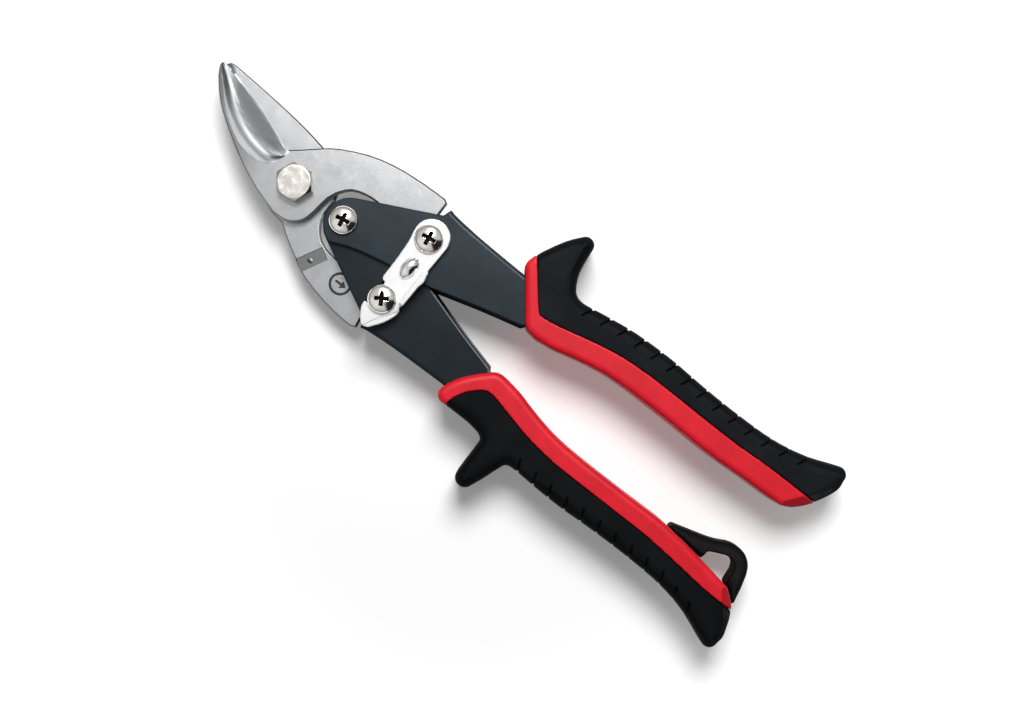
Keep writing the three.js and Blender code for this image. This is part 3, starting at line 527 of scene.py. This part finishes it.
def black_moulding(name, shade, rough=0.6, end=None):
    """Soft black moulding with its mould's fine texture, painted shade on its flanks and a painted grey
    reflection in streaks on the facet across its end.
    """
    finish = Finish(name)
    cloud = finish.noise(70, 4, 0.6)
    grain = finish.noise(2800, 3, 0.65)
    tone = finish.blend(finish.step(cloud, 0.3, 0.7), scaled(shade, 0.8), scaled(shade, 1.3))
    # Painted shade on the rounded flanks.
    tone = finish.blend(faces_up(finish, 0.75, 0.985), scaled(shade, 0.35), tone)
    if end:
        # A painted reflection, grey and streaked, on the facet across the grip's end.
        streak = finish.noise(1, 4, 0.7, finish.turned(END_TURN, (120, 1500, 300)))
        painted_sheen = facing(finish, end, 0.965, 0.985) * finish.step(streak, 0.35, 0.7)
        tone = finish.blend(painted_sheen, tone, scaled(shade, 5))
    finish.set(
        Base_Color=tone, Metallic=0.0, Roughness=rough + 0.12 * grain, Specular_IOR_Level=0.05,
        Normal=finish.bump(grain, 0.035 * MM, 0.45),
    )
    return finish.material


def spring_steel(name):
    """Drawn wire with a thin oil film."""
    finish = Finish(name)
    cloud = finish.noise(500, 3, 0.6)
    tone = finish.blend(finish.step(cloud, 0.3, 0.7), WIRE_DARK, WIRE_LIGHT)
    finish.set(
        Base_Color=tone, Metallic=1.0, Roughness=0.28 + 0.1 * cloud,
        Normal=finish.bump(cloud, 0.01 * MM, 0.3),
    )
    return finish.material


def only(*pieces):
    """Selects these pieces alone and makes the first one active."""
    bpy.ops.object.select_all(action="DESELECT")
    for piece in pieces:
        piece.select_set(True)
    bpy.context.view_layer.objects.active = pieces[0]


def edit(piece):
    only(piece)
    bpy.ops.object.mode_set(mode="EDIT")
    bpy.ops.mesh.select_all(action="SELECT")


def done():
    bpy.ops.object.mode_set(mode="OBJECT")


def finish_modifier(piece, kind, **settings):
    """Adds one modifier, sets it and applies it."""
    only(piece)
    modifier = piece.modifiers.new(kind.lower(), kind)
    for key, value in settings.items():
        setattr(modifier, key, value)
    bpy.ops.object.modifier_apply(modifier=modifier.name)


def copy_of(node, name):
    """A welded copy of a node's solid, its flat faces made whole."""
    piece = bpy.data.objects.new(name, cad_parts[node].data.copy())
    bpy.context.scene.collection.objects.link(piece)
    piece.data.materials.clear()
    edit(piece)
    bpy.ops.mesh.remove_doubles(threshold=WELD)
    bpy.ops.mesh.dissolve_limited(angle_limit=math.radians(0.3))
    done()
    return piece


def smooth(piece, angle=38):
    """Smooth shading up to an angle, led by the large faces."""
    only(piece)
    bpy.ops.object.shade_smooth_by_angle(angle=math.radians(angle))
    finish_modifier(piece, "WEIGHTED_NORMAL", keep_sharp=True, weight=60)


def break_edges(piece, width, angle=32, segments=2):
    finish_modifier(
        piece, "BEVEL", width=width, segments=segments, limit_method="ANGLE",
        angle_limit=math.radians(angle), use_clamp_overlap=False, miter_outer="MITER_ARC",
    )


def dress(piece, body, material, slot, *nodes):
    """Gives a finished piece its material and its body, and hides the nodes that it stands for."""
    only(piece)
    bpy.ops.object.transform_apply(location=True, rotation=True, scale=True)
    piece.data.materials.clear()
    piece.data.materials.append(material)
    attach(piece, body)
    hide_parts(*nodes)


def plain_copy(node, body, material, slot, width=None, angle=32, soft=38):
    """A node's own solid with broken edges and smooth round faces."""
    piece = copy_of(node, node + "_piece")
    if width:
        break_edges(piece, width, angle)
    smooth(piece, soft)
    dress(piece, body, material, slot, node)
    return piece


def fattened(piece, by):
    """Moves a piece's faces outwards, so that its seat on the next moulding shows no gap."""
    edit(piece)
    bpy.ops.transform.shrink_fatten(value=by)
    done()


def moulded_copy(node, body, material, slot, voxel, rounds):
    """A node's solid rebuilt on a fine grid and eased, as a moulding comes from its tool."""
    piece = copy_of(node, node + "_moulding")
    finish_modifier(piece, "REMESH", mode="VOXEL", voxel_size=voxel, use_smooth_shade=True)
    finish_modifier(piece, "SMOOTH", factor=0.5, iterations=rounds)
    only(piece)
    bpy.ops.object.shade_smooth()
    dress(piece, body, material, slot, node)
    return piece


def rib_groove(piece, side, x, sizes):
    """A round wire laid just under a cover's outer side, along the surface that rays find there."""
    high_z = piece.bound_box[1][2]
    inwards = Vector((0, -side, 0))

    def sunk(origin, way, depth):
        _, place, normal, _ = piece.ray_cast(origin, way)
        return place - normal * depth

    edge = sunk(Vector((x, side * RAY_ASIDE, high_z / 2)), inwards, 0).y
    half = []
    for back in RIB_BACKS:
        start = Vector((x - RIB_SLANT * back * MM, edge - side * back * MM, RAY_ABOVE))
        half.append(sunk(start, Vector((0, 0, -1)), sizes.rib_sink))
    for share in RIB_SIDE_SHARES:
        half.append(sunk(Vector((x, side * RAY_ASIDE, high_z * share)), inwards, -RIB_PROUD))
    other = [Vector((point.x, point.y, high_z - point.z)) for point in reversed(half[:-1])]
    return wire(piece.name + "_groove", half + other, sizes.rib_radius)


def cut_ribs(piece, side, first, sizes, shadow):
    """Cuts the fine slanted grooves across a cover's outer edge, with painted shade inside them."""
    tools = []
    for i in range(first, RIB_COUNT):
        tools.append(rib_groove(piece, side, FIRST_RIB + sizes.rib_pitch * i, sizes))
    tool = join(*tools)
    tool.data.materials.append(shadow)
    finish_modifier(
        piece, "BOOLEAN", object=tool, operation="DIFFERENCE", solver="EXACT", material_mode="TRANSFER",
    )
    bpy.data.objects.remove(tool)
    only(piece)
    bpy.ops.object.shade_smooth_by_angle(angle=math.radians(40))


def wire(name, points, radius):
    """A round wire along a line of points, as a mesh."""
    line = bpy.data.curves.new(name, "CURVE")
    line.dimensions = "3D"
    line.bevel_depth = radius
    line.bevel_resolution = 4
    line.use_fill_caps = True
    spline = line.splines.new("POLY")
    spline.points.add(len(points) - 1)
    for point, place in zip(spline.points, points):
        point.co = (*place, 1)
    piece = bpy.data.objects.new(name, line)
    bpy.context.scene.collection.objects.link(piece)
    only(piece)
    bpy.ops.object.convert(target="MESH")
    only(piece)
    return piece


def primitive(kind, name, **settings):
    """Adds one primitive with nothing else selected and names it."""
    bpy.ops.object.select_all(action="DESELECT")
    getattr(bpy.ops.mesh, "primitive_" + kind + "_add")(**settings)
    piece = bpy.context.object
    piece.name = name
    bpy.ops.object.transform_apply(location=True, rotation=True, scale=True)
    return piece


def boolean(piece, tool, operation):
    """Cuts or joins a piece with a tool, which is used up."""
    finish_modifier(piece, "BOOLEAN", object=tool, operation=operation, solver="EXACT")
    bpy.data.objects.remove(tool)


def join(*pieces):
    only(*pieces)
    bpy.ops.object.join()
    return pieces[0]


def hexagon_head(name, axis, low, high, rim, down=False):
    """A hexagon block whose corners are turned down to a cone on its outer side."""
    corner = HEXAGON_FLATS / math.sqrt(3)
    head = primitive(
        "cylinder", name, vertices=6, radius=corner, depth=high - low,
        location=(axis.x, axis.y, (low + high) / 2), rotation=(0, 0, HEXAGON_TURN),
    )
    height = (corner + CONE_GROWTH - rim) * CONE_SLOPE
    centre_z = low + height / 2 if down else high - height / 2
    cone = primitive(
        "cone", "turning", vertices=96, radius1=corner + CONE_GROWTH, radius2=rim, depth=height,
        location=(axis.x, axis.y, centre_z), rotation=(math.pi if down else 0, 0, 0),
    )
    keep = primitive(
        "cylinder", "keep", vertices=96, radius=corner + CONE_GROWTH, depth=high - low,
        location=(axis.x, axis.y, (low + high) / 2 + (height if down else -height)),
    )
    boolean(cone, keep, "UNION")
    boolean(head, cone, "INTERSECT")
    return head


def pivot_bolt(material):
    low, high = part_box("pivot_bolt")
    head_low = high.z - HEAD_HEIGHT
    head = hexagon_head("pivot_bolt_head", BOLT_AXIS, head_low, high.z, HEAD_RIM)
    break_edges(head, 0.14 * MM, 20, 3)
    shank = primitive(
        "cylinder", "shank", vertices=64, radius=SHANK_RADIUS, depth=head_low - low.z + SHANK_SINK,
        location=(BOLT_AXIS.x, BOLT_AXIS.y, (head_low + SHANK_SINK + low.z) / 2),
    )
    break_edges(shank, 0.4 * MM, 60, 3)
    bolt = join(head, shank)
    smooth(bolt, 40)
    dress(bolt, "front_blade", material, "bright_steel", "pivot_bolt")


def pivot_nut(material):
    low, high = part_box("pivot_nut")
    nut = hexagon_head("pivot_lock_nut", BOLT_AXIS, low.z, high.z, NUT_RIM, down=True)
    bore = primitive(
        "cylinder", "bore", vertices=64, radius=NUT_BORE, depth=20 * MM,
        location=(BOLT_AXIS.x, BOLT_AXIS.y, low.z),
    )
    boolean(nut, bore, "DIFFERENCE")
    break_edges(nut, 0.14 * MM, 20, 2)
    smooth(nut, 40)
    dress(nut, "front_blade", material, "bright_steel", "pivot_nut")


def cross_cutter(axis, top, turn, sizes):
    """Two tapered bars that cross on the screw's axis."""
    bars = []
    for quarter in range(2):
        bar = primitive("cube", "bar", size=1)
        edit(bar)
        bpy.ops.transform.resize(
            value=(2 * sizes.recess_reach, sizes.recess_width, 2 * sizes.recess_depth),
        )
        bpy.ops.mesh.select_all(action="DESELECT")
        done()
        for polygon in bar.data.polygons:
            polygon.select = polygon.normal.z < -0.9
        bpy.ops.object.mode_set(mode="EDIT")
        bpy.ops.transform.resize(value=(0.42, 0.6, 1))
        done()
        bar.rotation_euler = (0, 0, turn + quarter * math.pi / 2)
        bar.location = (axis.x, axis.y, top)
        only(bar)
        bpy.ops.object.transform_apply(location=True, rotation=True, scale=True)
        bars.append(bar)
    boolean(bars[0], bars[1], "UNION")
    return bars[0]


def dome_screw(node, axis, turn, sizes, body, shade):
    """Domed head: a squashed sphere cut at its rim, with a cross recess."""
    low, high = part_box(node)
    radius = (high.x - low.x) / 2
    dome_low = low.z + SCREW_RIM
    crown = high.z - dome_low
    head = primitive(
        "uv_sphere", node + "_head", segments=72, ring_count=36, radius=radius,
        location=(axis.x, axis.y, 0),
    )
    edit(head)
    bpy.ops.transform.resize(value=(1, 1, crown / radius), center_override=(axis.x, axis.y, 0))
    bpy.ops.transform.translate(value=(0, 0, dome_low))
    bpy.ops.mesh.bisect(
        plane_co=(axis.x, axis.y, dome_low), plane_no=(0, 0, 1), clear_inner=True, use_fill=False,
    )
    bpy.ops.mesh.select_all(action="DESELECT")
    bpy.ops.mesh.select_non_manifold()
    bpy.ops.mesh.extrude_region_move(TRANSFORM_OT_translate={"value": (0, 0, -SCREW_RIM)})
    bpy.ops.mesh.edge_face_add()
    bpy.ops.mesh.select_all(action="SELECT")
    bpy.ops.mesh.normals_make_consistent(inside=False)
    done()
    boolean(head, cross_cutter(axis, high.z, turn, sizes), "DIFFERENCE")
    break_edges(head, 0.07 * MM, 38, 2)
    smooth(head, 30)
    crown_shape = (Vector((axis.x, axis.y, dome_low)), radius, crown)
    material = plated_steel(node + " plate", shade, 0.12, crown=crown_shape)
    dress(head, body, material, "bright_steel", node)


def wire_path():
    """Centreline of the opening spring: a leg, two and a half turns, and the other leg."""
    pin = UPPER_LINK_AXIS - HANDLE_AXIS
    away = math.hypot(pin.x, pin.y)
    beside = COIL_RADIUS + LEG_BESIDE_PIN
    splay = math.atan2(pin.y, pin.x) - math.asin(beside / away)
    length = math.sqrt(away ** 2 - beside ** 2) + LEG_PAST_PIN
    centre = Vector((HANDLE_AXIS.x, HANDLE_AXIS.y, middle("opening_spring").z))

    def leg(share, side):
        x = length * share * math.cos(splay) - COIL_RADIUS * math.sin(splay)
        y = length * share * math.sin(splay) + COIL_RADIUS * math.cos(splay)
        return centre + Vector((x, side * y, -side * COIL_RISE))

    points = [leg(share, -1) for share in (1, 0.66, 0.33)]
    count = round(COIL_TURNS * COIL_STEPS)
    sweep = 2 * math.pi * COIL_TURNS - 2 * splay
    for i in range(count + 1):
        angle = math.radians(-90) - splay - sweep * i / count
        x, y = COIL_RADIUS * math.cos(angle), COIL_RADIUS * math.sin(angle)
        points.append(centre + Vector((x, y, COIL_RISE - 2 * COIL_RISE * i / count)))
    return points + [leg(share, 1) for share in (0.33, 0.66, 1)]


def opening_spring(radius, material):
    spring = wire("opening_spring_wire", wire_path(), radius)
    bpy.ops.object.shade_smooth_by_angle(angle=math.radians(50))
    dress(spring, "upper_handle", material, "spring_wire", "opening_spring")


class SNIPS_OT_blades(bpy.types.Operator):
    """Finishes the two forged blades"""

    bl_idname = "snips.blades"
    bl_label = "Blades"

    def execute(self, context):
        colours = context.scene.snips_colours
        width = context.scene.snips_sizes.edge_break
        front = forged_steel("forged front", colours.forged, colours.hollow, 1)
        # The rear blade is the front blade's steel scaled 3% lighter, as painted light.
        rear = forged_steel("forged rear", scaled(colours.forged, 1.03), colours.hollow, -1)
        plain_copy("front_blade", "front_blade", front, "forged_steel", width, 40)
        plain_copy("rear_blade", "rear_blade", rear, "forged_steel", width, 40)
        return {"FINISHED"}


class SNIPS_OT_pivot(bpy.types.Operator):
    """Models the blade bolt with its lock nut and finishes the washer"""

    bl_idname = "snips.pivot"
    bl_label = "Blade bolt and nut"

    def execute(self, context):
        bright = plated_steel("plated bolt", context.scene.snips_colours.plated, 0.17, 1.0)
        pivot_bolt(bright)
        pivot_nut(bright)
        plain_copy("pivot_washer", "front_blade", bright, "bright_steel", 0.15 * MM)
        return {"FINISHED"}


class SNIPS_OT_handles(bpy.types.Operator):
    """Finishes the two pressed channel handles"""

    bl_idname = "snips.handles"
    bl_label = "Channel handles"

    def execute(self, context):
        shade = context.scene.snips_colours.paint
        for node, share, gloss, painted_sheen in HANDLES:
            # Both handles wear the same paint; the lower one's smaller share is painted shade.
            paint = handle_paint(node + " paint", scaled(shade, share), gloss, painted_sheen)
            plain_copy(node, node, paint, "painted_steel", soft=50)
        return {"FINISHED"}


class SNIPS_OT_pins(bpy.types.Operator):
    """Models the domed screws and finishes the posts, sleeves, bush and washer"""

    bl_idname = "snips.pins"
    bl_label = "Screws and posts"

    def execute(self, context):
        sizes = context.scene.snips_sizes
        shade = context.scene.snips_colours.plated
        bright = plated_steel("plated posts", shade, 0.2)
        dull = spring_steel("drawn steel")
        dome_screw("handle_pivot_screw", HANDLE_AXIS, math.radians(10), sizes, "upper_handle", shade)
        dome_screw("upper_link_screw", UPPER_LINK_AXIS, math.radians(8), sizes, "upper_handle", shade)
        dome_screw("lower_link_screw", LOWER_LINK_AXIS, math.radians(32), sizes, "lower_handle", shade)
        for node in ("handle_pivot_post", "upper_link_post", "upper_link_sleeve"):
            plain_copy(node, "upper_handle", bright, "bright_steel", 0.1 * MM)
        for node in ("lower_link_post", "lower_link_sleeve"):
            plain_copy(node, "lower_handle", bright, "bright_steel", 0.1 * MM)
        plain_copy("spring_bush", "upper_handle", dull, "bush_plastic", 0.2 * MM)
        plain_copy("latch_washer", "upper_handle", dull, "spring_wire", 0.1 * MM)
        return {"FINISHED"}


class SNIPS_OT_spring(bpy.types.Operator):
    """Winds the opening spring"""

    bl_idname = "snips.spring"
    bl_label = "Opening spring"

    def execute(self, context):
        opening_spring(context.scene.snips_sizes.wire_radius, spring_steel("spring wire"))
        return {"FINISHED"}


class SNIPS_OT_latch(bpy.types.Operator):
    """Finishes the latch"""

    bl_idname = "snips.latch"
    bl_label = "Latch"

    def execute(self, context):
        zinc = latch_zinc("latch zinc", context.scene.snips_colours.zinc)
        plain_copy("latch", "latch", zinc, "latch_zinc", context.scene.snips_sizes.edge_break, 45)
        return {"FINISHED"}


class SNIPS_OT_grips(bpy.types.Operator):
    """Moulds the red cores, black covers and the hanging loop"""

    bl_idname = "snips.grips"
    bl_label = "Grips"

    def execute(self, context):
        colours = context.scene.snips_colours
        voxel = context.scene.snips_sizes.moulding_voxel
        loop = black_moulding("loop moulding", colours.loop)
        shadow = black_moulding("groove moulding", scaled(colours.black, GROOVE_PAINTED_SHADE))
        for hand, side, first_rib, share in GRIPS:
            body = hand + "_handle"
            lean = math.sin(END_TILT)
            end = (lean * math.cos(END_TURN), -side * lean * math.sin(END_TURN), math.cos(END_TILT))
            red = red_moulding(hand + " red moulding", colours.red, end)
            black = black_moulding(hand + " black moulding", scaled(colours.black, share), end=end)
            moulded_copy(hand + "_grip_core", body, red, "red_grip", voxel, 3)
            cover = moulded_copy(hand + "_grip_cover", body, black, "black_grip", voxel, 6)
            cut_ribs(cover, side, first_rib, context.scene.snips_sizes, shadow)
        fattened(moulded_copy("hang_loop", "lower_handle", loop, "loop_plastic", voxel, 1), LOOP_EASE)
        return {"FINISHED"}


def floor_finish():
    """Pale floor that the camera and glossy rays see a little lighter, and far lighter away from the
    snips' middle, so that the floor near them has a painted shade; it keeps the shadow.
    """
    finish = Finish("floor")
    seen = finish.node("ShaderNodeLightPath", output="Is Camera Ray")
    glossy = finish.node("ShaderNodeLightPath", output="Is Glossy Ray")
    away = finish.measure("LENGTH", finish.place)
    # The weaker glow near the snips' middle is painted shade on the floor around them.
    finish.set(
        Base_Color=(0.78, 0.78, 0.78), Roughness=0.9, Specular_IOR_Level=0.0, Emission_Color=(1, 1, 1),
        Emission_Strength=(seen + glossy) * (0.2 + 0.5 * finish.step(away, 0.08, 0.25)),
    )
    return finish.material


def studio():
    """Light from above that fades to the horizon, with a dark board beyond the picture's lower right."""
    finish = Finish("studio", "worlds", "Background", "Generated")
    height = finish.axis("Z")
    ahead = PICTURE_RIGHT * math.cos(BOARD_TURN) + PICTURE_UP * math.sin(BOARD_TURN)
    level = finish.vectors("NORMALIZE", finish.vectors("MULTIPLY", finish.place, (1, 1, 0)))
    along = finish.measure("DOT_PRODUCT", level, ahead)
    board = finish.step(along, 0.8, 0.88) * (1 - finish.step(height, 0.93, 0.985))
    shade = finish.blend(finish.step(height, -0.1, 0.85), (0.14, 0.14, 0.15), (0.62, 0.62, 0.62))
    shade = finish.blend(board, shade, (0.015, 0.015, 0.015))
    seen = finish.node("ShaderNodeLightPath", output="Is Camera Ray")
    diffuse = finish.node("ShaderNodeLightPath", output="Is Diffuse Ray")
    finish.set(Color=finish.blend(seen, shade, (1, 1, 1)), Strength=1 - 0.84 * diffuse)
    return finish.material


def lamp(name, side, up, height, size, power):
    """A square lamp over the snips, placed by the picture's right and up, looking at their middle."""
    light = bpy.data.lights.new(name, "AREA")
    light.shape = "SQUARE"
    light.size = size
    light.energy = power
    holder = bpy.data.objects.new(name, light)
    bpy.context.scene.collection.objects.link(holder)
    place = PICTURE_RIGHT * side + PICTURE_UP * up + Vector((0, 0, height))
    holder.location = place
    holder.rotation_euler = (Vector((0, 0, 0.01)) - place).to_track_quat("-Z", "Y").to_euler()


class SNIPS_OT_stage(bpy.types.Operator):
    """Adds the floor, the lamps, the world and the camera"""

    bl_idname = "snips.stage"
    bl_label = "Stage"

    def execute(self, context):
        scene = context.scene
        scene.view_settings.view_transform = "Standard"
        floor = primitive("plane", "floor", size=FLOOR_SIZE, location=(0, 0, -FLOOR_DROP))
        floor.data.materials.append(floor_finish())
        for setting in LAMPS:
            lamp(*setting)
        scene.world = studio()
        view = bpy.data.cameras.new("camera")
        view.lens = LENS
        view.sensor_width = 36
        view.clip_start = 0.01
        camera = bpy.data.objects.new("camera", view)
        scene.collection.objects.link(camera)
        camera.location = CAMERA_PLACE
        camera.rotation_euler = (0, 0, VIEW_TURN)
        scene.camera = camera
        return {"FINISHED"}


class SNIPS_PT_panel(bpy.types.Panel):
    """Lists the sizes, the colours and the steps"""

    bl_idname = "SNIPS_PT_panel"
    bl_label = "Snips"
    bl_space_type = "VIEW_3D"
    bl_region_type = "UI"
    bl_category = "Snips"

    def draw(self, context):
        for group in (context.scene.snips_sizes, context.scene.snips_colours):
            for name in group.__annotations__:
                self.layout.prop(group, name)
        for step in STEPS:
            self.layout.operator(step.bl_idname)


STEPS = (
    SNIPS_OT_stage, SNIPS_OT_blades, SNIPS_OT_pivot, SNIPS_OT_handles, SNIPS_OT_pins, SNIPS_OT_spring,
    SNIPS_OT_latch, SNIPS_OT_grips,
)
GROUPS = (SnipsSizes, SnipsColours)


def register():
    for group in (*GROUPS, *STEPS, SNIPS_PT_panel):
        bpy.utils.register_class(group)
    bpy.types.Scene.snips_sizes = bpy.props.PointerProperty(type=SnipsSizes)
    bpy.types.Scene.snips_colours = bpy.props.PointerProperty(type=SnipsColours)


def unregister():
    del bpy.types.Scene.snips_colours
    del bpy.types.Scene.snips_sizes
    for group in reversed((*GROUPS, *STEPS, SNIPS_PT_panel)):
        bpy.utils.unregister_class(group)


def main():
    register()
    for step in STEPS:
        area, name = step.bl_idname.split(".")
        getattr(getattr(bpy.ops, area), name)()


if __name__ == "__main__":
    main()
